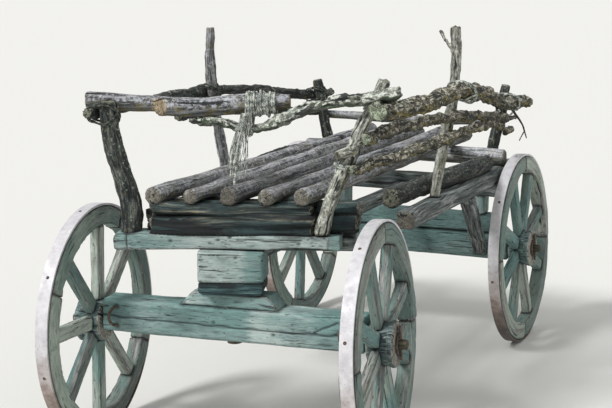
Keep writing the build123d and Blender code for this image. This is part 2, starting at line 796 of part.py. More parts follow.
# Move everything so that the origin is the middle of the footprint, and write one file a node
whole = Compound([solid for solids in nodes.values() for solid in solids]).bounding_box()
shift = Pos(-(whole.min.X + whole.max.X) / 2, -(whole.min.Y + whole.max.Y) / 2, -whole.min.Z)
for node, solids in nodes.items():
    moved = [shift * solid for solid in solids]
    shape = moved[0] if len(moved) == 1 else Compound(moved)
    export_step(shape, f"parts/{node}.step")
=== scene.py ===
import json
import math
import random

import bpy
import numpy as np
from numpy.linalg import norm
from mathutils import Matrix, Vector
from mathutils.bvhtree import BVHTree


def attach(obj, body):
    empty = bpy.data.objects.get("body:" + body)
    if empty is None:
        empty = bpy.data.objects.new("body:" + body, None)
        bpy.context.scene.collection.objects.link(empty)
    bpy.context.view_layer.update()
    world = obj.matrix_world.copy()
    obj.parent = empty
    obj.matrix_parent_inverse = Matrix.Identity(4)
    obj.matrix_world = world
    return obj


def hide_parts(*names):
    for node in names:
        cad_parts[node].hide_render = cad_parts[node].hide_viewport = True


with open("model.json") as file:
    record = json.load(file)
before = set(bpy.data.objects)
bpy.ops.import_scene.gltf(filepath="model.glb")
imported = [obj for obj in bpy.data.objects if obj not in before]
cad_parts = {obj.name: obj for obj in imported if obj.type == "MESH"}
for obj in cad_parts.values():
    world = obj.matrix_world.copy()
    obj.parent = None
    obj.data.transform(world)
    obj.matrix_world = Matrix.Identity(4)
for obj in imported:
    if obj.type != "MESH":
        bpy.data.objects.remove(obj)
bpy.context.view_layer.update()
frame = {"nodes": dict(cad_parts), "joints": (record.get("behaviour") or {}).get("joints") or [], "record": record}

# Old wooden farm wagon, in metres: +Y to the rear, +X to its right, +Z up
joints = {joint["name"]: joint for joint in frame["joints"]}
bodyOf = {node: body for body, nodes in frame["record"]["behaviour"]["bodies"].items() for node in nodes}
slotOf = {part["node"]: part["material_slot"] for part in frame["record"]["subparts"]}
kingpin = Vector(joints["steering"]["pos_m"])
kingpin.z = 0
bunkTurn = math.radians(19.5)  # the front bolster stands turned on the axle
bunk = Matrix.Translation(kingpin) @ Matrix.Rotation(bunkTurn, 4, "Z")
bunkTilt = bunk.to_3x3()
armEnds = [Vector(joints[side + "_wheel_spin"]["pos_m"]) for side in ("front_right", "front_left")]
axleSpan = armEnds[0] - armEnds[1]
axle = Matrix.Translation(kingpin) @ Matrix.Rotation(math.atan2(axleSpan.y, axleSpan.x), 4, "Z")
wheelPlaces = ("front_left", "front_right", "rear_left", "rear_right")
dice = random.Random(7)


# Small tools

def placed(name, data):
    piece = bpy.data.objects.new(name, data)
    bpy.context.scene.collection.objects.link(piece)
    return piece


def pick(*pieces):
    for other in bpy.context.selected_objects:
        other.select_set(False)
    for piece in pieces:
        piece.select_set(True)
    bpy.context.view_layer.objects.active = pieces[0]


def applyModifier(piece, kind, **settings):
    pick(piece)
    bpy.ops.object.modifier_add(type=kind)
    modifier = piece.modifiers[-1]
    for key, value in settings.items():
        setattr(modifier, key, value)
    bpy.ops.object.modifier_apply(modifier=modifier.name)


def joined(pieces, name):
    pick(*pieces)
    if len(pieces) > 1:
        bpy.ops.object.join()
    piece = bpy.context.view_layer.objects.active
    piece.name = piece.data.name = name
    return piece


def settle(piece, body, slot, *nodes):
    # the piece's place goes into its mesh, and it rides on its body
    pick(piece)
    bpy.ops.object.transform_apply(location=True, rotation=True, scale=True)
    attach(piece, body)
    if nodes:
        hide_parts(*nodes)


def setMaterial(piece, material):
    piece.data.materials.clear()
    piece.data.materials.append(material)


# Camera: at standing eye height, to the right in front of the wagon
photoCamera = {
    "place": (2.205, -4.253, 1.784),  # from the ground under the kingpin
    "yaw": 24.26,
    "pitch": -10.34,
    "roll": 0.1,
    "lens": 79.65,
    "sensor": 36.0,
}


def makeCamera():
    data = bpy.data.cameras.new("photoCamera")
    data.lens = photoCamera["lens"]
    data.sensor_width = photoCamera["sensor"]
    camera = placed("photoCamera", data)
    camera.location = kingpin + Vector(photoCamera["place"])
    camera.rotation_euler = (
        math.radians(90 + photoCamera["pitch"]),
        math.radians(photoCamera["roll"]),
        math.radians(photoCamera["yaw"]),
    )
    bpy.context.scene.camera = camera


makeCamera()
print("camera placed")


# Materials

def linear(hexColour):
    parts = [int(hexColour[i:i + 2], 16) / 255 for i in (1, 3, 5)]
    return [c / 12.92 if c <= 0.04045 else ((c + 0.055) / 1.055) ** 2.4 for c in parts] + [1.0]


usualSettings = {  # what a node of each kind has here, unless its call says otherwise
    "Math": {"operation": "MULTIPLY", "use_clamp": True},
    "Mix": {"data_type": "RGBA"},
}


def addNode(tree, kind, inputs=(), output=0, stops=(), **settings):
    # inputs go by place or name: a socket is linked, a hex colour made linear, and the rest is set
    node = tree.nodes.new("ShaderNode" + kind)
    for name, value in {**usualSettings.get(kind, {}), **settings}.items():
        setattr(node, name, value)
    for key, value in inputs.items() if isinstance(inputs, dict) else enumerate(inputs):
        if isinstance(value, bpy.types.NodeSocket):
            tree.links.new(value, node.inputs[key])
        else:
            node.inputs[key].default_value = linear(value) if isinstance(value, str) else value
    if stops:
        ramp = node.color_ramp
        while len(ramp.elements) < len(stops):
            ramp.elements.new(0.5)
        for element, (place, colour) in zip(ramp.elements, stops):
            element.position = place
            element.color = linear(colour)
    return node.outputs[output] if node.outputs else node


def times(tree, *values):
    return addNode(tree, "Math", values)


def plus(tree, *values):
    return addNode(tree, "Math", values, operation="ADD")


def minus(tree, *values):
    return addNode(tree, "Math", values, operation="SUBTRACT", use_clamp=False)


def between(tree, *values):
    # 0 to 1, or to the last two values, as the first goes from the second to the third
    return addNode(tree, "MapRange", values)


def newMaterial(name):
    material = bpy.data.materials.new(name)
    material.use_nodes = True
    material.node_tree.nodes.clear()
    return material, material.node_tree


def patches(tree, place, size, along=1.0, detail=4.0, roughness=0.55, distortion=0.0):
    # cloudy patches this many metres across, and 1 / along times as long as they are wide
    drawnOut = addNode(tree, "Mapping", {"Vector": place, "Scale": (along, 1, 1)})
    return addNode(tree, "TexNoise", {"Vector": drawnOut, "Scale": 1 / size, "Detail": detail,
                                      "Roughness": roughness, "Distortion": distortion})


def mixed(tree, share, colour, other, **settings):
    return addNode(tree, "Mix", {0: share, 6: colour, 7: other}, 2, **settings)


def shaded(tree, colour, value, low, high, toLow, toHigh):
    # times toLow to toHigh, as the value goes from low to high
    level = between(tree, value, low, high, toLow, toHigh)
    return mixed(tree, 1.0, colour, level, blend_type="MULTIPLY")


def stained(tree, colour, value, low, high, most, stain):
    # the stain comes in, up to most, as the value goes from low to high
    return mixed(tree, between(tree, value, low, high, 0.0, most), colour, stain)


def finishSurface(tree, colour, roughness, height, depth, metallic=0.0):
    bump = addNode(tree, "Bump", {"Strength": 0.9, "Distance": depth, "Height": height})
    shader = addNode(tree, "BsdfPrincipled", {"Base Color": colour, "Roughness": roughness, "Normal": bump,
                                              "Metallic": metallic})
    addNode(tree, "OutputMaterial", {"Surface": shader})


def checkField(tree, place, size, stretch, rarity):
    # drying checks: thin slits along the grain that taper at both ends and come in loose groups
    slits = patches(tree, place, size, 1 / stretch, 1.5, 0.4)
    groups = patches(tree, place, size * 9, 0.3, 2)
    return times(tree, between(tree, slits, rarity, rarity + 0.035), between(tree, groups, 0.42, 0.52))


def grainFields(tree, look):
    # streaks, checks and growth rings that follow each piece's own grain: x along it, y and z across
    grain = addNode(tree, "Attribute", output="Vector", attribute_name="grain")
    sway = patches(tree, grain, 0.13, 0.5, 2)
    sideways = addNode(tree, "CombineXYZ", {1: sway, 2: sway})
    wandering = addNode(tree, "VectorMath", (sideways, (0.0, 0.03, 0.03), grain), operation="MULTIPLY_ADD")
    fields = {"grain": grain, "wandering": wandering}
    for name in ("cut", "tone", "wear", "contact", "opened", "bleach"):
        fields[name] = addNode(tree, "Attribute", output="Fac", attribute_name=name)
    along = 1 / look["stretch"]
    fields["streak"] = patches(tree, wandering, look["streakWidth"], along, 6, 0.7, 0.2)
    fields["fine"] = patches(tree, wandering, look["fineWidth"], along, 3, 0.7)
    fields["blotch"] = patches(tree, grain, look["blotchSize"], 0.5, 4, 0.6)
    size, stretch, rarity = look["checkSize"], look["checkStretch"], look["checkRarity"]
    cracks = checkField(tree, wandering, size, stretch, rarity)
    hairs = checkField(tree, wandering, size * 0.4, stretch * 0.7, rarity)
    pits = between(tree, patches(tree, grain, 0.010, 0.35, 2, 0.6), 0.64, 0.69)
    for mark, share in ((hairs, 0.7), (pits, look["pitShare"]), (fields["opened"], 1.0)):
        cracks = addNode(tree, "Math", (cracks, times(tree, mark, share)), operation="MAXIMUM")
    fields["cracks"] = cracks
    normal = addNode(tree, "NewGeometry", output="Normal")
    fields["upward"] = between(tree, addNode(tree, "SeparateXYZ", (normal,), 2), -0.8, 0.9)
    section = addNode(tree, "Mapping", {"Vector": grain, "Scale": (0, 1, 1)})
    # growth rings are 2 to 3 mm apart; here they are 18 mm, so that an end shows a few
    fields["rings"] = addNode(tree, "TexWave", {"Vector": section, "Scale": 1 / 0.018, "Distortion": 5.0,
                                                "Detail": 3.0, "Detail Scale": 1.5},
                              "Fac", wave_type="RINGS", rings_direction="X")
    spread = addNode(tree, "VectorMath", (section,), operation="NORMALIZE")
    fields["splits"] = between(tree, patches(tree, spread, 0.24, 1.0, 1), 0.62, 0.66)
    return fields


def lichened(tree, fields, look, colour):
    reach = 0.60 - look["lichen"] * 0.2
    uncut = between(tree, fields["cut"], 0.0, 1.0, 1.0, look["cutLichen"])
    growths = (  # colour, size, drawn out, roughness, how much rarer, and how it takes to facing up
        (look["lichenPale"], 0.018, 1.0, 0.75, 0.0, (0.3, 0.6, 0.0, 0.85)),  # pale crust towards the sky
        (look["lichenDeep"], 0.025, 0.6, 0.7, 0.02, (0.62, 0.38, 0.0, look["mossShare"])),  # moss below
    )
    # lichen and moss by how each face looks up, which also paints light on the tops and shade underneath
    for tint, size, along, roughness, rarer, facing in growths:
        growth = patches(tree, fields["grain"], size, along, 5, roughness)
        growth = between(tree, growth, reach + rarer, reach + rarer + 0.06)
        growth = times(tree, growth, between(tree, fields["upward"], *facing))
        growth = times(tree, growth, uncut)
        colour = mixed(tree, growth, colour, tint)
    return shaded(tree, colour, patches(tree, fields["grain"], 0.008, 1.0, 3, 0.7), 0.35, 0.65, 0.72, 1.2)


def woodColour(tree, fields, look):
    body = addNode(tree, "ValToRGB", (fields["streak"],), stops=look["body"])
    body = shaded(tree, body, fields["fine"], 0.34, 0.66, 0.62, 1.22)
    body = stained(tree, body, fields["blotch"], 0.44, 0.62, look["stainShare"], look["stain"])
    ends = addNode(tree, "ValToRGB", (fields["rings"],), stops=look["ends"])
    ends = shaded(tree, ends, patches(tree, fields["grain"], 0.02), 0.35, 0.65, 0.6, 1.15)
    ends = mixed(tree, fields["splits"], ends, "#1d1b18")
    colour = mixed(tree, fields["cut"], body, ends)
    # painted light on the faces that look up and painted shade on those that look down
    colour = shaded(tree, colour, fields["upward"], 0.0, 1.0, 1 - look["shade"], 1.1)
    if look["lichen"] > 0:
        colour = lichened(tree, fields, look, colour)
    colour = shaded(tree, colour, fields["tone"], 0.0, 1.0, 0.75, 1.18)
    # painted shade, with some dirt, darkens the wood near the next timber
    colour = shaded(tree, colour, fields["contact"], 0.0, 1.0, 1.0, 0.25)
    return stained(tree, colour, fields["cracks"], 0.0, 1.0, 0.93, look["checkColour"])


def woodHeight(tree, fields, look):
    ridges = plus(tree, times(tree, fields["streak"], 0.6), times(tree, fields["fine"], 0.35))
    return minus(tree, ridges, times(tree, fields["cracks"], look["checkDepth"]))


# Sizes are in metres. Real streaks are about 3 mm wide; they are drawn 9 mm and wider so that they show
silverPine = {  # squared pine left bare for decades: cool silver grey, hard ridges, long drying checks
    "stretch": 20, "streakWidth": 0.011, "fineWidth": 0.0035, "blotchSize": 0.10,
    "checkSize": 0.014, "checkStretch": 22, "checkRarity": 0.62, "checkDepth": 0.9, "pitShare": 0.4,
    "body": [(0.36, "#2b3032"), (0.46, "#5d6463"), (0.55, "#8c9190"), (0.67, "#bfc2be")],
    "ends": [(0.2, "#5d5a52"), (0.8, "#8d887b")],
    "stain": "#4c5d5a", "stainShare": 0.5, "checkColour": "#12171a", "shade": 0.35,
    "lichen": 0.0, "lichenPale": "#a9b5ab", "lichenDeep": "#7f8c72", "mossShare": 0.5, "cutLichen": 0.3,
    "roughness": 0.86, "depth": 0.003,
}
sleeperBlackAndShaded = dict(silverPine, **{  # sleepers under the bed: black in the splits, grey green on the fibres, and darkened all over as painted shade
    "body": [(0.40, "#0b1114"), (0.49, "#232e2f"), (0.57, "#545f5b"), (0.67, "#a69a82")],
    "stretch": 30, "streakWidth": 0.019, "checkSize": 0.024, "checkStretch": 26, "checkRarity": 0.58,
    "stain": "#34494a", "stainShare": 0.6, "checkColour": "#060a0c", "shade": 0.45, "depth": 0.006,
})
barkedPole = dict(silverPine, **{  # round spruce with rags of bark: blue black and grey, crusted with lichen
    "stretch": 7, "streakWidth": 0.012, "pitShare": 0.9,
    "checkSize": 0.013, "checkStretch": 7, "checkRarity": 0.60,
    "body": [(0.38, "#101618"), (0.48, "#2f3635"), (0.57, "#60645e"), (0.68, "#9d9f93")],
    "ends": [(0.2, "#68685a"), (0.8, "#9a9a86")],
    "stain": "#2a302b", "stainShare": 0.6, "lichen": 0.15, "lichenPale": "#aab0a0", "lichenDeep": "#7c7738",
    "mossShare": 0.7, "shade": 0.45, "depth": 0.005,
})
crustedPole = dict(barkedPole, **{  # rack poles in the sun: ash and cream lichen on top, mustard moss below
    "body": [(0.38, "#141713"), (0.47, "#3d3d31"), (0.56, "#7a7664"), (0.67, "#b9b3a2")],
    "ends": [(0.2, "#84907a"), (0.8, "#b4bea6")],
    "stain": "#34331f", "lichen": 0.5, "lichenPale": "#c6c2b4", "lichenDeep": "#85793a", "mossShare": 0.75,
    "checkRarity": 0.57,
})
ashBark = dict(barkedPole, **{  # right front stake: bark bleached to ash and cream, with black pits
    "body": [(0.35, "#43463f"), (0.44, "#8f9188"), (0.53, "#c3c4b9"), (0.65, "#e4e4da")],
    "stain": "#7a7560", "stainShare": 0.4, "lichen": 0.5, "lichenPale": "#dfe2d6", "lichenDeep": "#7d774c",
    "mossShare": 0.5, "pitShare": 1.0, "depth": 0.007,
})
peeledPole = dict(silverPine, **{  # peeled round spruce: lilac silver on top, olive brown below, lichen and moss that also paint light on top and shade below
    "body": [(0.36, "#34373a"), (0.46, "#6c7071"), (0.55, "#9fa1a3"), (0.66, "#cfcfd3")],
    "streakWidth": 0.013, "stain": "#5f5a45", "stainShare": 0.5, "shade": 0.42,
    "lichen": 0.45, "lichenPale": "#b9bac0", "lichenDeep": "#6a6440", "mossShare": 0.65,
})
paleBranch = dict(barkedPole, **{  # thin branch with its bark gone: nearly white on top, dappled green below
    "body": [(0.37, "#2c312d"), (0.47, "#6d736b"), (0.57, "#acb1a6"), (0.68, "#dfe2d8")],
    "stain": "#555b46", "stainShare": 0.45, "lichen": 0.6, "lichenPale": "#dfe3d8", "lichenDeep": "#46543a",
    "mossShare": 0.85, "checkRarity": 0.60, "pitShare": 0.8, "shade": 0.6,
})
sunnyBar = dict(peeledPole, **{  # the crossbar: lilac white on top and olive brown below, lichen and moss that also paint light and shade; its sawn end tan
    "body": [(0.37, "#2b2e30"), (0.47, "#5d6061"), (0.56, "#929496"), (0.67, "#c9c9cd")],
    "ends": [(0.2, "#84745c"), (0.8, "#bfac8f")],
    "lichen": 0.6, "lichenPale": "#b9bbc2", "lichenDeep": "#6b6236", "mossShare": 0.75, "cutLichen": 0.0,
})
padInPaintedShade = dict(silverPine, **{  # worn block under the turntable, blue black as painted shade, with grey ridges
    "body": [(0.38, "#17282c"), (0.47, "#315054"), (0.56, "#608486"), (0.68, "#8fabaa")],
    "ends": [(0.2, "#1c2729"), (0.8, "#3d4b4c")], "stain": "#22363a",
})
greasyWood = dict(silverPine, **{  # axle arm worn round by the hub: olive brown with old grease
    "body": [(0.37, "#2a2923"), (0.47, "#524f3e"), (0.56, "#77725c"), (0.67, "#9d9782")],
    "ends": [(0.2, "#3b3229"), (0.8, "#6d6254")], "stain": "#37372a",
})
hubWood = dict(silverPine, **{  # turned birch nave: dark blue grey, checked along the axle, pale worn rim
    "stretch": 14, "streakWidth": 0.009, "checkSize": 0.010, "checkStretch": 16, "checkRarity": 0.60,
    "body": [(0.35, "#2b373a"), (0.45, "#536668"), (0.55, "#7d8e8f"), (0.68, "#a9b4b0")],
    "ends": [(0.2, "#737169"), (0.8, "#aeaba1")],
    "stain": "#4a6a63", "stainShare": 0.5, "shade": 0.0,
})


def bareWood(name, look):
    material, tree = newMaterial(name)
    fields = grainFields(tree, look)
    colour = woodColour(tree, fields, look)
    finishSurface(tree, colour, look["roughness"], woodHeight(tree, fields, look), look["depth"])
    return material


oldPaint = {  # linseed oil paint gone chalky: pale sage where it is bleached and where light is painted, teal where the paint held on and where shade is painted, grey wood through it
    "wood": dict(silverPine, **{"checkSize": 0.009, "checkStretch": 40, "checkRarity": 0.65, "pitShare": 0.6,
                                "shade": 0.25, "checkColour": "#0f1a1b"}),
    "bleached": "#bac9c5", "sage": "#869f9c", "teal": "#5b8a86", "dirt": "#475b59",
    "wear": 0.30, "tealShare": 0.45, "roughness": 0.8, "depth": 0.0022, "seam": False,
}
spokePaint = dict(oldPaint, **{  # the same paint on the spokes, thinner, with more brown grey wood showing
    "wood": dict(oldPaint["wood"], **{
        "body": [(0.36, "#353534"), (0.46, "#646361"), (0.55, "#8b8987"), (0.67, "#b7b5b4")],
        "stain": "#57534b", "shade": 0.0}),
    "bleached": "#a9b3a8", "sage": "#788a83", "teal": "#507876", "wear": 0.56, "tealShare": 0.7,
})
felloePaint = dict(spokePaint, **{  # and on the rim, greyer still and rotted dark where it meets the tyre
    "bleached": "#a3aea2", "sage": "#7f8d86", "teal": "#5a7a74", "wear": 0.42, "tealShare": 0.5, "seam": True,
})


def chalkyPaint(name, look):
    material, tree = newMaterial(name)
    wood = look["wood"]
    fields = grainFields(tree, wood)
    grain = fields["grain"]
    bare = woodColour(tree, fields, wood)
    # chalky and pale where the paint is bleached and where light is painted on it, teal where it held and where
    # shade is painted
    chalkAndPaintedLight = plus(tree, times(tree, fields["streak"], 0.5), times(tree, fields["bleach"], 0.5))
    heldAndPaintedShade = minus(tree, patches(tree, grain, 0.22, 0.4, 3, 0.6), times(tree, fields["bleach"], 0.2))
    paint = stained(tree, look["sage"], chalkAndPaintedLight, 0.43, 0.57, 1.0, look["bleached"])
    paint = stained(tree, paint, heldAndPaintedShade, 0.38, 0.48, look["tealShare"], look["teal"])
    paint = stained(tree, paint, fields["blotch"], 0.54, 0.70, 0.5, look["dirt"])
    paint = shaded(tree, paint, fields["fine"], 0.34, 0.66, 0.84, 1.1)
    paint = shaded(tree, paint, patches(tree, grain, 0.007, 0.2, 3, 0.7), 0.35, 0.65, 0.84, 1.12)
    # painted light on the faces that look up and painted shade on those that look down
    paint = shaded(tree, paint, fields["upward"], 0.0, 1.0, 1 - wood["shade"], 1.1)
    # painted shade, with some dirt, darkens the paint near the next timber
    paint = shaded(tree, paint, fields["contact"], 0.0, 1.0, 1.0, 0.25)
    paint = shaded(tree, paint, fields["tone"], 0.0, 1.0, 0.82, 1.12)
    edges = addNode(tree, "NewGeometry", output="Pointiness")
    rubbed = patches(tree, fields["wandering"], 0.022, 1 / wood["stretch"], 5, 0.72)
    for cause in ((edges, 0.51, 0.55, 0.0, 0.18), (fields["wear"], 0.0, 1.0, -0.09, 0.09)):
        rubbed = plus(tree, rubbed, between(tree, *cause))
    through = 0.72 - look["wear"] * 0.3
    worn = between(tree, rubbed, through, through + 0.05)
    colour = stained(tree, paint, worn, 0.0, 1.0, 0.85, bare)
    colour = stained(tree, colour, fields["cracks"], 0.0, 1.0, 0.9, wood["checkColour"])
    if look["seam"]:  # the rim's outer edge, 30 mm and more outside its middle
        outward = addNode(tree, "SeparateXYZ", (grain,), 1)
        colour = stained(tree, colour, outward, 0.0305, 0.0345, 0.9, "#1a2224")
    height = minus(tree, woodHeight(tree, fields, wood), times(tree, worn, 0.3))
    finishSurface(tree, colour, look["roughness"], height, look["depth"])
    return material


wornIron = {
    "clean": [(0.3, "#c4c2c6"), (0.5, "#d4d2d6"), (0.7, "#e0dee0")],
    # from the first height down to the second, how much of it, and its colour
    "earthAndShade": ((0.52, 0.30, 0.9, "#9d8a7e"), (0.36, 0.18, 0.94, "#423c39")),
    "pits": "#77594e",
}


def wornTyreIron():
    # flat iron tyre, rubbed and bleached lilac white, pink with rust below, and brown near the ground from earth
    # and painted shade
    material, tree = newMaterial("wornTyreIron")
    place = addNode(tree, "TexCoord", output="Object")
    clouds = patches(tree, place, 0.05, 1.0, 5, 0.65)
    colour = addNode(tree, "ValToRGB", (clouds,), stops=wornIron["clean"])
    height = addNode(tree, "SeparateXYZ", (place,), 2)
    ragged = plus(tree, height, between(tree, clouds, 0.3, 0.7, 0.0, 0.12))
    # darker towards the ground: earth and rust, and painted shade
    for above, below, most, earthAndShade in wornIron["earthAndShade"]:
        colour = stained(tree, colour, ragged, above, below, most, earthAndShade)
    pitting = between(tree, patches(tree, place, 0.010, 1.0, 3, 0.7), 0.56, 0.66)
    pitting = times(tree, pitting, between(tree, ragged, 0.10, 0.62, 0.85, 0.22))
    colour = mixed(tree, pitting, colour, wornIron["pits"])
    colour = shaded(tree, colour, patches(tree, place, 0.02), 0.42, 0.58, 0.90, 1.0)
    roughness = between(tree, clouds, 0.3, 0.7, 0.62, 0.48)
    finishSurface(tree, colour, roughness, patches(tree, place, 0.012, 1.0, 4, 0.6), 0.0010, 0.12)
    return material


rust = [(0.3, "#2c2927"), (0.5, "#554b44"), (0.66, "#7c685a"), (0.82, "#96816f")]


def rustyIron():
    # forged iron, rusted all over: red brown with dark pits
    material, tree = newMaterial("rustyIron")
    clouds = patches(tree, addNode(tree, "TexCoord", output="Object"), 0.012, 1.0, 5, 0.7)
    finishSurface(tree, addNode(tree, "ValToRGB", (clouds,), stops=rust), 0.8, clouds, 0.0015, 0.35)
    return material


def hempRope(name, stops):
    # old three-strand hemp, bleached nearly white where the sun reaches it; the black green copy is the same rope
    # in painted shade
    material, tree = newMaterial(name)
    place = addNode(tree, "TexCoord", output="Object")
    lay = addNode(tree, "TexWave", {"Vector": place, "Scale": 60.0, "Distortion": 2.0}, "Fac",
                  bands_direction="DIAGONAL")
    clouds = patches(tree, place, 0.014, 1.0, 4, 0.7)
    colour = shaded(tree, addNode(tree, "ValToRGB", (clouds,), stops=stops), lay, 0.0, 1.0, 0.6, 1.1)
    finishSurface(tree, colour, 0.92, plus(tree, lay, clouds), 0.0012)
    return material


finishes = {
    "paint": chalkyPaint("chalkyGreenPaint", oldPaint),
    "spokePaint": chalkyPaint("chalkySpokePaint", spokePaint),
    "felloePaint": chalkyPaint("chalkyFelloePaint", felloePaint),
    "hub": bareWood("checkedHubWood", hubWood),
    "greasy": bareWood("greasyArmWood", greasyWood),
    "silver": bareWood("silverPine", silverPine),
    "sleeper": bareWood("blackenedSleeperInShade", sleeperBlackAndShaded),
    "barked": bareWood("barkedSpruce", barkedPole),
    "crusted": bareWood("crustedSpruce", crustedPole),
    "ash": bareWood("bleachedBark", ashBark),
    "bar": bareWood("bleachedAndSunlitBar", sunnyBar),
    "peeled": bareWood("peeledSpruce", peeledPole),
    "pale": bareWood("paleBranch", paleBranch),
    "pad": bareWood("padWoodInPaintedShade", padInPaintedShade),
    "tyre": wornTyreIron(),
    "rust": rustyIron(),
    "hemp": hempRope("hempRope", [(0.36, "#4b524f"), (0.48, "#8f9690"), (0.60, "#dcded4")]),
    "hempInPaintedShade": hempRope("hempRopeInPaintedShade", [(0.36, "#1f2523"), (0.50, "#414741"), (0.64, "#7b7f72")]),
}
print("materials made")


# Wood relief: each CAD solid is copied, remeshed and carved along its own grain
reliefs = {
    # rounding passes, then size, depth and stretch along the grain of each carving, in metres
    "hewn": {"rounding": 5, "layers": [{"size": 0.17, "depth": 0.014, "stretch": 4},
                                       {"size": 0.024, "depth": 0.005, "stretch": 9}]},
    "split": {"rounding": 3, "layers": [{"size": 0.10, "depth": 0.024, "stretch": 4},
                                        {"size": 0.022, "depth": 0.040, "stretch": 18}]},
    "bark": {"rounding": 3, "layers": [{"size": 0.09, "depth": 0.016, "stretch": 2},
                                       {"size": 0.014, "depth": 0.013, "stretch": 5}]},
    "pole": {"rounding": 3, "layers": [{"size": 0.09, "depth": 0.014, "stretch": 3},
                                       {"size": 0.018, "depth": 0.005, "stretch": 9}]},
    "gnarled": {"rounding": 3, "layers": [{"size": 0.06, "depth": 0.032, "stretch": 1.6},
                                          {"size": 0.016, "depth": 0.020, "stretch": 3}]},
    "turned": {"rounding": 4, "layers": [{"size": 0.03, "depth": 0.003, "stretch": 8}]},
    "twig": {"rounding": 1, "layers": [{"size": 0.02, "depth": 0.003, "stretch": 2}]},
}


def solidsOf(node):
    pick(placed(node + "Worn", frame["nodes"][node].data.copy()))
    bpy.ops.object.mode_set(mode="EDIT")
    bpy.ops.mesh.select_all(action="SELECT")
    bpy.ops.mesh.remove_doubles(threshold=0.00002)
    bpy.ops.mesh.separate(type="LOOSE")
    bpy.ops.object.mode_set(mode="OBJECT")
    return list(bpy.context.selected_objects)


def readPoints(piece, what="co"):
    values = np.empty(len(piece.data.vertices) * 3, np.float32)
    piece.data.vertices.foreach_get(what, values)
    return values.reshape(-1, 3).astype(float)


def readNormals(piece):
    return readPoints(piece, "normal")


def remeshed(piece, voxel):
    applyModifier(piece, "REMESH", mode="VOXEL", voxel_size=voxel, adaptivity=0.0)
    return readPoints(piece)


def writePoints(piece, points):
    piece.data.vertices.foreach_set("co", points.astype(np.float32).ravel())


def writeFields(piece, grain, **fields):
    # what the wood's material reads; one number stands for the whole piece
    for name, values in {"grain": grain, **fields}.items():
        kind, slot, shape = ("FLOAT", "value", len(grain))
        if name == "grain":
            kind, slot, shape = ("FLOAT_VECTOR", "vector", grain.shape)
        layer = piece.data.attributes.new(name, kind, "POINT")
        layer.data.foreach_set(slot, np.broadcast_to(values, shape).astype(np.float32).ravel())


def mainAxes(points):
    # one to a column, from the thinnest to the longest
    spread = points - points.mean(0)
    return np.linalg.eigh(spread.T @ spread)[1]


def seenFrom(place, points, normals):
    home = np.array(place.inverted())
    return points @ home[:3, :3].T + home[:3, 3], normals @ home[:3, :3].T


endReach = 0.06  # how near to an end a face across the grain is a cut


def straightGrain(piece, axis):
    # x along the piece, y and z from its heart, which may bend
    points = readPoints(piece)
    axis = np.array(axis, float) / norm(axis)
    along = points @ axis
    low, high = along.min(), along.max()
    slices = 24 if high - low > 0.5 else 6
    index = np.clip(((along - low) / (high - low) * slices).astype(int), 0, slices - 1)
    middles = [points[index == i].mean(0) if np.any(index == i) else None for i in range(slices)]
    places = [low + (i + 0.5) * (high - low) / slices for i in range(slices) if middles[i] is not None]
    middles = [m for m in middles if m is not None]
    heart = np.stack([np.interp(along, places, [m[k] for m in middles]) for k in range(3)], 1)
    off = points - heart
    side = np.cross(axis, (0, 0, 1)) if abs(axis[2]) < 0.9 else np.cross(axis, (0, 1, 0))
    side /= norm(side)
    up = np.cross(axis, side)
    facing = np.abs(readNormals(piece) @ axis)
    nearEnd = np.minimum(along - low, high - along) < endReach
    cut = np.clip((facing - 0.45) / 0.15, 0, 1) * nearEnd
    return np.stack([along - low, off @ side, off @ up], 1), cut


def roundGrain(piece, centre, axis):
    # x round the wheel, y out from the rim's middle, z along the axis
    points = readPoints(piece) - np.array(centre)
    axis = np.array(axis) / norm(axis)
    across = points @ axis
    flat = points - np.outer(across, axis)
    side = np.cross(axis, (0, 0, 1))
    side /= norm(side)
    up = np.cross(side, axis)
    radius = norm(flat, axis=1)
    angle = np.arctan2(flat @ up, flat @ side)
    middle = radius.mean()
    return np.stack([angle * middle, radius - middle, across], 1), np.zeros(len(points))


# An arm in its bore: this far round a wheel's axis and each way from its middle, with this much room added
armSpace = {"radius": 0.036, "length": 0.14, "room": 0.0007}


def carve(piece, relief, axis, spared):
    # spared points keep their place, such as a hub's bore and the arm in it
    applyModifier(piece, "SMOOTH", factor=0.5, iterations=reliefs[relief]["rounding"])
    if spared.any():
        points = readPoints(piece)
        points[spared] -= readNormals(piece)[spared] * armSpace["room"]
        writePoints(piece, points)
    group = piece.vertex_groups.new(name="carved")
    for index in np.flatnonzero(~spared):
        group.add([int(index)], 1.0, "REPLACE")
    guide = placed("grainGuide", None)
    turn = Vector((1, 0, 0)).rotation_difference(Vector(axis)).to_matrix().to_4x4()
    for layer in reliefs[relief]["layers"]:
        clouds = bpy.data.textures.new("carving", "CLOUDS")
        clouds.noise_scale = layer["size"]
        clouds.noise_depth = 2
        somewhere = Matrix.Translation([dice.uniform(-9, 9) for _ in range(3)])
        guide.matrix_world = somewhere @ turn @ Matrix.Diagonal((layer["stretch"], 1, 1, 1))
        bpy.context.view_layer.update()
        applyModifier(piece, "DISPLACE", texture=clouds, texture_coords="OBJECT", texture_coords_object=guide,
                      strength=layer["depth"], mid_level=0.5, vertex_group="carved")
        bpy.data.textures.remove(clouds)
    bpy.data.objects.remove(guide)
    piece.vertex_groups.clear()


def nearArm(points):
    near = np.zeros(len(points), bool)
    for side in wheelPlaces:
        joint = joints[side + "_wheel_spin"]
        away = points - np.array(joint["pos_m"])
        line = np.array(joint["axis"]) / norm(joint["axis"])
        across = norm(away - np.outer(away @ line, line), axis=1)
        near |= (across < armSpace["radius"]) & (np.abs(away @ line) < armSpace["length"])
    return near


seamDirtAndShadeReach = 0.009  # dirt and painted shade reach this far from the next timber


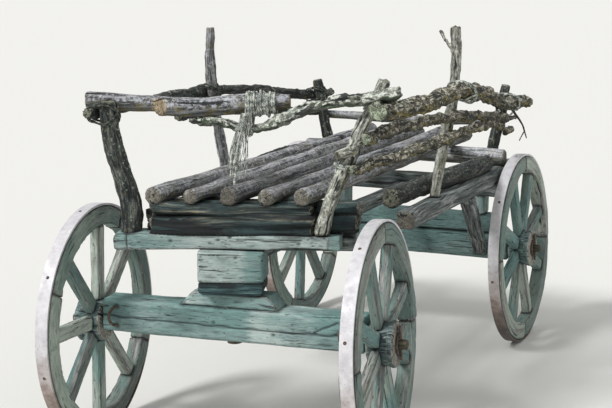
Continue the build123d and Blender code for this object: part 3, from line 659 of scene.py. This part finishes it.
def cadShape(solid):
    solid.data.calc_loop_triangles()
    return readPoints(solid), [tuple(face.vertices) for face in solid.data.loop_triangles]


ropeNodes = ("front_binding", "rack_lashings", "rope_tail")
ironNodes = ("shaft_hooks", "front_linchpins", "rear_linchpins", "kingpin")
solids, shapes = {}, {}
for cadNode in list(frame["nodes"]):
    copies = solidsOf(cadNode)
    if cadNode not in ropeNodes:
        for number, solid in enumerate(copies):
            shapes[cadNode, number] = cadShape(solid)
    if cadNode in ironNodes or cadNode.endswith("_tyre") or cadNode in ("front_binding", "rope_tail"):
        for solid in copies:
            bpy.data.objects.remove(solid)
    else:
        solids[cadNode] = copies
print("solids read")


def contactField(points, own):
    # 1 where another timber touches, fading to 0 at the reach of the dirt and the painted shade
    share = np.zeros(len(points))
    corners, faces, inside = [], [], np.zeros(len(points), bool)
    for key, (places, triangles) in shapes.items():
        low, high = places.min(0) - seamDirtAndShadeReach, places.max(0) + seamDirtAndShadeReach
        within = np.all((points > low) & (points < high), axis=1)
        if key != own and within.any():
            faces += [tuple(index + len(corners) for index in face) for face in triangles]
            corners += [tuple(place) for place in places]
            inside |= within
    if faces:
        tree = BVHTree.FromPolygons(corners, faces)
        for index in np.flatnonzero(inside):
            distance = tree.find_nearest(points[index], seamDirtAndShadeReach)[3]
            if distance is not None:
                share[index] = 1 - distance / seamDirtAndShadeReach
    return share


# Marks on the fronts of the timbers, as (x, z) in metres along the axle beam or along the bolster; the spans of
# bleached paint, as (x, share), also paint light and shade along each front
markings = {
    "front_axle_beam": {
        "place": axle, "groove": 0.0026,
        "cracks": [[(-0.50, 0.478), (-0.30, 0.471), (-0.20, 0.472), (-0.06, 0.470), (0.05, 0.4685),
                    (0.20, 0.468), (0.35, 0.470), (0.50, 0.473)],
                   [(0.316, 0.470), (0.352, 0.493), (0.412, 0.519)], [(0.385, 0.470), (0.440, 0.492)]],
        "knots": [(-0.058, 0.483), (0.17, 0.455)],
        "bleach": [(-0.47, 0.0), (-0.39, 0.1), (-0.35, 0.35), (0.05, 0.25), (0.10, 0.6), (0.30, 0.4),
                   (0.42, 0.1)],
    },
    "front_bolster": {
        "place": bunk, "groove": 0.0022,
        "cracks": [[(0.345, 0.755), (0.347, 0.835)], [(-0.378, 0.755), (-0.380, 0.835)],
                   [(0.02, 0.792), (0.12, 0.789), (0.25, 0.792)]],
        "knots": [(-0.048, 0.790), (-0.006, 0.801), (0.241, 0.780), (-0.22, 0.785)],
        "bleach": [(-0.50, 0.6), (-0.40, 0.5), (-0.15, 0.6), (-0.10, 1.0), (0.05, 0.95), (0.10, 0.7),
                   (0.15, 1.0), (0.335, 1.0), (0.35, 0.3)],
    },
    "turntable_blocks": {
        "place": bunk, "groove": 0.002, "cracks": [], "knots": [(0.02, 0.735)],
        "bleach": [(-0.12, 0.9), (0.03, 0.8), (0.06, 0.45), (0.12, 0.35)],
    },
    "front_saddle": {
        "place": axle, "groove": 0.002, "cracks": [], "knots": [],
        "bleach": [(-0.2, 0.7), (0.0, 0.2), (0.2, 0.3)],
    },
}


def distanceTo(path, flat):
    # how far each point lies from a crack's course
    nearest = np.full(len(flat), 9.0)
    for start, end in zip(np.array(path[:-1]), np.array(path[1:])):
        run = end - start
        share = np.clip(((flat - start) @ run) / (run @ run), 0, 1)
        nearest = np.minimum(nearest, norm(flat - start - share[:, None] * run, axis=1))
    return nearest


crackSway = (0.0015, 55)  # metres, and radians to a metre
knotRadius = 0.007


def marked(piece, node, points):
    # how open the wood is at each point, and how bleached its paint, which along a timber also paints its light
    # and shade
    marks = markings.get(node)
    if not marks:
        return np.zeros(len(points)), None
    local, normals = seenFrom(marks["place"], points, readNormals(piece))
    front = np.clip(-normals[:, 1] / 0.4, 0, 1)
    flat = local[:, [0, 2]]
    wavy = flat + np.stack([np.zeros(len(flat)), crackSway[0] * np.sin(flat[:, 0] * crackSway[1])], 1)
    opened = np.zeros(len(points))
    for path in marks["cracks"]:
        opened = np.maximum(opened, np.clip(1.7 - distanceTo(path, wavy) / marks["groove"], 0, 1))
    for knot in marks["knots"]:
        away = norm((flat - np.array(knot)) * (1, 1.3), axis=1)
        opened = np.maximum(opened, np.clip(1.5 - away / knotRadius, 0, 0.8))
    spans = np.array(marks["bleach"])
    return opened * front, np.interp(local[:, 0], spans[:, 0], spans[:, 1])


# The thick bar's left end: its place along the bolster, its slant in degrees, and how near is on the cut
sawnEnd = {"node": "front_crossbar", "place": -0.263, "slant": 40.0, "reach": 0.005}


def onSawCut(points, normals):
    local, normals = seenFrom(bunk, points, normals)
    slant = math.radians(sawnEnd["slant"])
    facing = np.array((math.cos(slant), math.sin(slant), 0))
    away = (local - (sawnEnd["place"], 0, 0)) @ facing
    return (np.abs(away) < sawnEnd["reach"]) & (normals @ facing < -0.4)


crackDepth = 0.004
slidingFaces = {"front_saddle": (0, 0.5896), "turntable_pad": (0.5906, 9)}  # lowest and highest z in metres
keptFaces = 0.68  # flat stretches lose faces, so that all the woodwork stays under a million triangles


def wornPiece(node, finish, relief, voxel, grain=None, wheel=None):
    # a pair of finishes is for the left and the right solids, and no grain means along each solid
    pieces = []
    for number, solid in enumerate(solids[node]):
        points = remeshed(solid, voxel)
        axis = mainAxes(points)[:, 2] if grain is None else np.array(grain)
        course, cut = roundGrain(solid, *wheel) if wheel else straightGrain(solid, axis)
        if node == sawnEnd["node"]:
            cut[onSawCut(points, readNormals(solid))] = 1
        contact = contactField(points, (node, number))
        opened, bleach = marked(solid, node, points)
        if opened.any():
            writePoints(solid, points - readNormals(solid) * (crackDepth * opened)[:, None])
        carve(solid, relief, axis, nearArm(points))
        if node in slidingFaces:
            carved = readPoints(solid)
            carved[:, 2] = np.clip(carved[:, 2], *slidingFaces[node])
            writePoints(solid, carved)
        writeFields(
            solid, course + (dice.uniform(1, 40), 0, 0), cut=cut, contact=contact, opened=opened,
            tone=dice.random(), wear=dice.random(), bleach=dice.random() if bleach is None else bleach,
        )
        chosen = finish if isinstance(finish, str) else finish[int(points[:, 0].mean() > 0)]
        setMaterial(solid, finishes[chosen])
        pieces.append(solid)
    piece = joined(pieces, node + "Worn")
    applyModifier(piece, "DECIMATE", ratio=keptFaces)
    bpy.ops.object.shade_smooth()
    if node.endswith("axle_beam"):
        greaseArms(piece)
    settle(piece, bodyOf[node], slotOf[node], node)
    return piece


def greaseArms(piece):
    # the arms are darker than the painted beam
    piece.data.materials.append(finishes["greasy"])
    greasy = nearArm(readPoints(piece))
    for face in piece.data.polygons:
        if all(greasy[index] for index in face.vertices):
            face.material_index = len(piece.data.materials) - 1


alongBunk = tuple(bunkTilt @ Vector((1, 0, 0)))
woodwork = {
    # finish, relief and voxel size in metres of each wooden node, and its grain where it isn't lengthwise
    "front_axle_beam": ("paint", "hewn", 0.005),
    "front_saddle": ("paint", "hewn", 0.005),
    "turntable_blocks": ("paint", "hewn", 0.005, alongBunk),
    "turntable_pad": ("pad", "hewn", 0.005, alongBunk),
    "front_bolster": ("paint", "hewn", 0.005),
    "bolster_back_timber": ("silver", "hewn", 0.006),
    "bolster_sleepers": ("sleeper", "split", 0.005, alongBunk),
    "front_stakes": (("barked", "ash"), "bark", 0.004),
    "front_crossbar": ("bar", "pole", 0.005),
    "front_crooked_branch": ("pale", "gnarled", 0.004),
    "left_rack_poles": ("barked", "bark", 0.005),
    "right_rack_poles": ("crusted", "gnarled", 0.005),
    "middle_stakes": (("peeled", "ash"), "bark", 0.005),
    "rear_stakes": ("barked", "bark", 0.005),
    "rear_crossbar": ("peeled", "pole", 0.006),
    "bed_poles": ("peeled", "pole", 0.008),
    "rear_bearer": ("peeled", "pole", 0.008),
    "side_logs": ("barked", "bark", 0.007),
    "side_rails": ("silver", "hewn", 0.006),
    "knee_braces": ("silver", "hewn", 0.006),
    "reach": ("silver", "hewn", 0.008),
    "rear_axle_beam": ("paint", "hewn", 0.007),
    "rear_sand_board": ("paint", "hewn", 0.007),
    "rear_posts": ("paint", "hewn", 0.006, (0, 0, 1)),
    "rear_bolster": ("silver", "hewn", 0.007),
}
worn = {node: wornPiece(node, *work) for node, work in woodwork.items()}
print("woodwork carved")

for place in wheelPlaces:
    joint = joints[place + "_wheel_spin"]
    wornPiece(place + "_felloes", "felloePaint", "hewn", 0.006, wheel=(joint["pos_m"], joint["axis"]))
    wornPiece(place + "_spokes", "spokePaint", "turned", 0.005)
    wornPiece(place + "_hub", "hub", "turned", 0.005, joint["axis"])
    setMaterial(frame["nodes"][place + "_tyre"], finishes["tyre"])
print("wheels carved")


tyreNails = {  # forged nail heads, eight to a tyre, standing hardly proud of it
    "count": 8, "radius": 0.0065, "height": 0.004, "proud": 0.0008, "astray": 0.006,
    "first": {"front_left": 103.0, "front_right": 118.5, "rear_left": 130.0, "rear_right": 142.7},  # degrees
}


def makeTyreNails(place):
    joint = joints[place + "_wheel_spin"]
    centre, axis = Vector(joint["pos_m"]), Vector(joint["axis"]).normalized()
    axis *= math.copysign(1, axis.x)
    level = Vector((0, 0, 1)).cross(axis).normalized()
    upright = axis.cross(level)
    rim = readPoints(frame["nodes"][place + "_tyre"]) - np.array(centre)
    rim -= np.outer(rim @ np.array(axis), np.array(axis))
    radius = norm(rim, axis=1).max() + tyreNails["proud"] - tyreNails["height"] / 2
    heads = []
    for number in range(tyreNails["count"]):
        angle = tyreNails["first"][place] + 360 * number / tyreNails["count"] + dice.uniform(-2, 2)
        outward = level * math.cos(math.radians(angle)) + upright * math.sin(math.radians(angle))
        sideways = axis * dice.uniform(-tyreNails["astray"], tyreNails["astray"])
        bpy.ops.mesh.primitive_cylinder_add(
            vertices=12, radius=tyreNails["radius"], depth=tyreNails["height"],
            location=centre + outward * radius + sideways,
            rotation=outward.to_track_quat("Z", "Y").to_euler(),
        )
        head = bpy.context.object
        applyModifier(head, "BEVEL", width=0.001, segments=1)
        heads.append(head)
    nails = joined(heads, place + "Nails")
    setMaterial(nails, finishes["rust"])
    settle(nails, bodyOf[place + "_tyre"], slotOf[place + "_tyre"])


for place in wheelPlaces:
    makeTyreNails(place)
print("tyre nails driven")

for node in ironNodes:
    setMaterial(frame["nodes"][node], finishes["rust"])


# Rope: the frayed tail is the cord, and the bands are coils round what they tie
tail = {
    # the route that the tail's solid has, along the bolster, in metres
    "route": [(0.050, -0.030, 1.243), (0.042, -0.045, 1.190), (0.024, -0.046, 1.090), (0.011, -0.046, 0.990)],
    "diameter": 0.010, "strands": 30, "strandRadius": 0.0013, "shortest": 0.72,
    "spread": 0.030, "flatness": 0.3,  # how far the strands fan out, and how much less towards the back
    "sway": (0.001, 0.004), "waves": 11,
}


def routeCurve(name, points, radius, cyclic=False):
    data = bpy.data.curves.new(name, "CURVE")
    data.dimensions = "3D"
    data.bevel_depth = radius
    data.bevel_resolution = 2
    data.resolution_u = 6
    spline = data.splines.new("NURBS")
    spline.points.add(len(points) - 1)
    for target, point in zip(spline.points, points):
        target.co = (*point, 1.0)
    spline.order_u = 3
    spline.use_endpoint_u = not cyclic
    spline.use_cyclic_u = cyclic
    return placed(name, data)


def asMesh(*curves):
    pick(*curves)
    bpy.ops.object.convert(target="MESH")
    return list(bpy.context.selected_objects)


def makeTail():
    route = [bunk @ Vector(point) for point in tail["route"]]
    core = routeCurve("ropeTail", route, tail["diameter"] / 2)
    bare = routeCurve("ropeTailLine", route, 0.0)
    line = bpy.data.meshes.new_from_object(bare)
    steps = [vertex.co.copy() for vertex in line.vertices]
    bpy.data.meshes.remove(line)
    bpy.data.objects.remove(bare)
    strands = []
    # half the spread at the tie, and a fifth more than all of it from 70% of the way down
    for _ in range(tail["strands"]):
        side, deep = dice.uniform(-1, 1), dice.uniform(-1, 1)
        last = int((len(steps) - 1) * dice.uniform(tail["shortest"], 1.0))
        phase, sway = dice.uniform(0, 6), dice.uniform(*tail["sway"])
        points = []
        for k, step in enumerate(steps[:last + 1]):
            share = k / (len(steps) - 1)
            fan = tail["spread"] * (0.5 + 0.7 * min(1, 1.4 * share))
            kink = sway * math.sin(tail["waves"] * share + phase)
            away = Vector((side * fan + kink, deep * fan * tail["flatness"] + kink * 0.4, 0))
            points.append(step + bunkTilt @ away)
        strands.append(routeCurve("ropeStrand", points[::2] + [points[-1]], tail["strandRadius"]))
    strandMesh = joined(asMesh(*strands), "ropeTailStrands")
    setMaterial(strandMesh, finishes["hemp"])
    core.data.materials.append(finishes["hemp"])
    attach(core, bodyOf["rope_tail"])
    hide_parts("rope_tail")
    settle(strandMesh, bodyOf["rope_tail"], "rope")


makeTail()
print("rope tail hung")


def hullOf(flat):
    # the outline that a tight rope takes round points in its plane
    flat = sorted(set(map(tuple, flat)))
    halves = []
    for points in (flat, flat[::-1]):
        half = []
        for point in points:
            while len(half) > 1 and ((half[-1][0] - half[-2][0]) * (point[1] - half[-2][1])
                                     <= (half[-1][1] - half[-2][1]) * (point[0] - half[-2][0])):
                half.pop()
            half.append(point)
        halves += half[:-1]
    return np.array(halves)


sliceReach = 0.007  # the wood this near to a turn's plane is what it goes round
bedding = 0.85  # of a rope's radius is outside the wood


def loopAround(pieces, centre, normal, across, offset, reach, radius, steps):
    # one turn of rope round the wood that crosses its plane, starting on the side of across
    centre, normal, across = (np.array(v, float) for v in (centre, normal, across))
    other = np.cross(normal, across)
    points = np.concatenate([readPoints(piece) for piece in pieces]) - centre
    near = (np.abs(points @ normal - offset) < sliceReach) & (norm(points, axis=1) < reach)
    flat = np.stack([points[near] @ across, points[near] @ other], 1)
    outline = hullOf(np.round(flat, 5))
    closed = np.vstack([outline, outline[:1]])
    lengths = np.concatenate([[0], np.cumsum(norm(np.diff(closed, axis=0), axis=1))])
    places = np.linspace(0, lengths[-1], steps, endpoint=False)
    even = np.stack([np.interp(places, lengths, closed[:, k]) for k in range(2)], 1)
    start = np.argmax(even[:, 0])
    even = np.roll(even, -start, axis=0)
    ahead, behind = np.roll(even, -1, axis=0), np.roll(even, 1, axis=0)
    along = ahead - behind
    outside = np.stack([along[:, 1], -along[:, 0]], 1)
    outside /= norm(outside, axis=1)[:, None]
    even = even + outside * radius * bedding
    return [centre + across * a + other * b for a, b in even]


proudTurn = 1.2  # every third turn lies over the others, by this many radii
unevenness = 0.0016


def wrapRope(name, pieces, centre, normal, across, wrap):
    # turns side by side, each a little loose in its own way
    route = []
    unit = np.array(normal, float)
    steps, spacing = wrap["steps"], wrap["spacing"]
    for turn in range(wrap["turns"]):
        offset = (turn - (wrap["turns"] - 1) / 2) * spacing
        radius = wrap["radius"] * (1 + proudTurn * (turn % 3 == 1))
        loop = loopAround(pieces, centre, unit, across, offset, wrap["reach"], radius, steps)
        droop = Vector((0, 0, -wrap["slack"] * (turn % 4)))
        for k, point in enumerate(loop):
            slide = offset + spacing * (k / steps - 0.5) + dice.uniform(-unevenness, unevenness)
            route.append(Vector(point + unit * slide) + droop)
    return routeCurve(name, route, wrap["radius"])


binding = {  # old rope round the thick bar
    "wood": ["front_crossbar"], "centre": (0.112, 0.025, 1.272), "turns": 11, "spacing": 0.0082,
    "radius": 0.0046, "reach": 0.055, "steps": 26, "slack": 0.0035,
}
branchTie = dict(binding, **{  # three turns of the same rope round the bar and the branch under it
    "wood": ["front_crossbar", "front_crooked_branch"], "centre": (0.062, 0.010, 1.235), "turns": 3,
    "spacing": 0.0080, "reach": 0.16, "steps": 30, "slack": 0.002,
})
lashing = {  # two turns each way over each crossing of a stake and a pole
    "wood": ["front_stakes", "middle_stakes", "rear_stakes", "left_rack_poles", "right_rack_poles"],
    "turns": 2, "spacing": 0.0075, "radius": 0.0036, "reach": 0.085, "steps": 26, "slack": 0.001,
}


def layRope(curves, name, body, *nodes):
    piece = joined(asMesh(*curves), name)
    setMaterial(piece, finishes["hemp"])
    settle(piece, body, "rope", *nodes)


def makeBinding():
    turns = []
    for tie in (binding, branchTie):
        wood = [worn[node] for node in tie["wood"]]
        turns.append(wrapRope("bindingTurns", wood, bunk @ Vector(tie["centre"]), alongBunk, (0, 0, 1), tie))
    layRope(turns, "bindingRope", bodyOf["front_binding"], "front_binding")


def makeLashings():
    turns = []
    wood = [worn[node] for node in lashing["wood"]]
    for band in solids["rack_lashings"]:
        points = readPoints(band)
        centre = (points.max(0) + points.min(0)) / 2
        normal = mainAxes(points)[:, 0]
        outwards = np.array((math.copysign(1, centre[0]), 0, 0))
        outwards -= normal * (outwards @ normal)
        outwards /= norm(outwards)
        for way in (normal, np.cross(normal, outwards)):
            turns.append(wrapRope("lashingTurns", wood, centre, way, outwards, lashing))
        turns[-2:] = asMesh(*turns[-2:])
        for turn in turns[-2:]:
            # the lashings on the left side take the copy of the rope in painted shade
            setMaterial(turn, finishes["hemp" if centre[0] > 0 else "hempInPaintedShade"])
        bpy.data.objects.remove(band)
    piece = joined(turns, "lashingRope")
    settle(piece, bodyOf["rack_lashings"], "rope", "rack_lashings")


makeBinding()
makeLashings()
print("ropes wound")


# Twigs and bark ties that the tree left or the maker added: (x, y, z, radius) in metres
twigs = {
    "stakeStub": {"place": bunk, "finish": "ash",
                  "route": [(0.440, -0.034, 1.118, 0.021), (0.408, -0.052, 1.110, 0.020),
                            (0.376, -0.078, 1.100, 0.019)]},
    "poleTwig": {"place": Matrix(), "finish": "barked", "host": "right_rack_poles",
                 "route": [(0.560, 0.815, 1.085, 0.006), (0.585, 0.838, 1.045, 0.0045),
                           (0.590, 0.866, 1.004, 0.004), (0.592, 0.902, 0.965, 0.003)]},
    "poleTwigFork": {"place": Matrix(), "finish": "barked",
                     "route": [(0.590, 0.870, 1.000, 0.0035), (0.585, 0.850, 0.985, 0.003),
                               (0.580, 0.822, 0.962, 0.0025)]},
}
upStake = (bunkTilt @ Vector((0.12, 0.0, 0.99))).normalized()
acrossStake = bunkTilt @ Vector((0.99, 0, -0.12))
barkRings = {  # a twisted withy round the right front stake, and cord above it
    "withy": {"centre": (0.403, -0.035, 1.058), "turns": 2, "spacing": 0.008, "radius": 0.0052, "reach": 0.06,
              "steps": 24, "slack": 0.001},
    "cord": {"centre": (0.474, -0.05, 1.283), "turns": 5, "spacing": 0.011, "radius": 0.0036, "reach": 0.075,
             "steps": 24, "slack": 0.002},
}


def makeTwig(name, twig):
    route = [twig["place"] @ Vector(knot[:3]) for knot in twig["route"]]
    if twig.get("host"):
        wood = readPoints(worn[twig["host"]])
        route[0] = Vector(wood[np.argmin(norm(wood - np.array(route[0]), axis=1))])
    curve = routeCurve(name, route, 1.0)
    for point, knot in zip(curve.data.splines[0].points, twig["route"]):
        point.radius = knot[3]
    curve.data.use_fill_caps = True
    piece = asMesh(curve)[0]
    points = remeshed(piece, max(0.0012, twig["route"][-1][3] / 4))
    axis = mainAxes(points)[:, 2]
    course, cut = straightGrain(piece, axis)
    carve(piece, "twig", axis, np.zeros(len(points), bool))
    writeFields(piece, course + (dice.uniform(1, 40), 0, 0), cut=cut, tone=0.6)
    bpy.ops.object.shade_smooth()
    setMaterial(piece, finishes[twig["finish"]])
    settle(piece, "bed", slotOf["front_stakes"])


for name, twig in twigs.items():
    makeTwig(name, twig)
for name, ring in barkRings.items():
    centre = bunk @ Vector(ring["centre"])
    turns = wrapRope(name, [worn["front_stakes"]], centre, upStake, acrossStake, ring)
    layRope([turns], name + "Ring", "bed")
print("twigs and ties made")


studio = {
    "floorSize": 300, "floor": "#e9e8e4",
    "sky": "#f4f5f4", "skyLight": 0.62, "skySeen": 0.95,
    "sun": 2.3, "sunWidth": 14, "sunFrom": (-0.42, -0.72, 0.85),  # width in degrees
}


def lightAndFloor():
    scene = bpy.context.scene
    scene.view_settings.view_transform = "Standard"
    bpy.ops.mesh.primitive_plane_add(size=studio["floorSize"], location=(0, 0, 0))
    floor = bpy.context.object
    floor.name = "studioFloor"
    material, tree = newMaterial("paleFloor")
    paint = addNode(tree, "BsdfPrincipled", {"Base Color": studio["floor"], "Roughness": 0.9})
    addNode(tree, "OutputMaterial", {"Surface": paint})
    floor.data.materials.append(material)
    sunData = bpy.data.lights.new("softSun", "SUN")
    sunData.energy = studio["sun"]
    sunData.angle = math.radians(studio["sunWidth"])
    sun = placed("softSun", sunData)
    sun.rotation_euler = Vector(studio["sunFrom"]).to_track_quat("Z", "Y").to_euler()
    world = bpy.data.worlds.new("paleWorld")
    scene.world = world
    world.use_nodes = True
    worldTree = world.node_tree
    worldTree.nodes.clear()
    rays = [addNode(worldTree, "LightPath", output=kind) for kind in ("Is Camera Ray", "Is Glossy Ray")]
    seen = addNode(worldTree, "Math", rays, operation="MAXIMUM")
    strength = between(worldTree, seen, 0.0, 1.0, studio["skyLight"], studio["skySeen"])
    background = addNode(worldTree, "Background", {"Color": studio["sky"], "Strength": strength})
    addNode(worldTree, "OutputWorld", {"Surface": background})


lightAndFloor()
print("light and floor set")
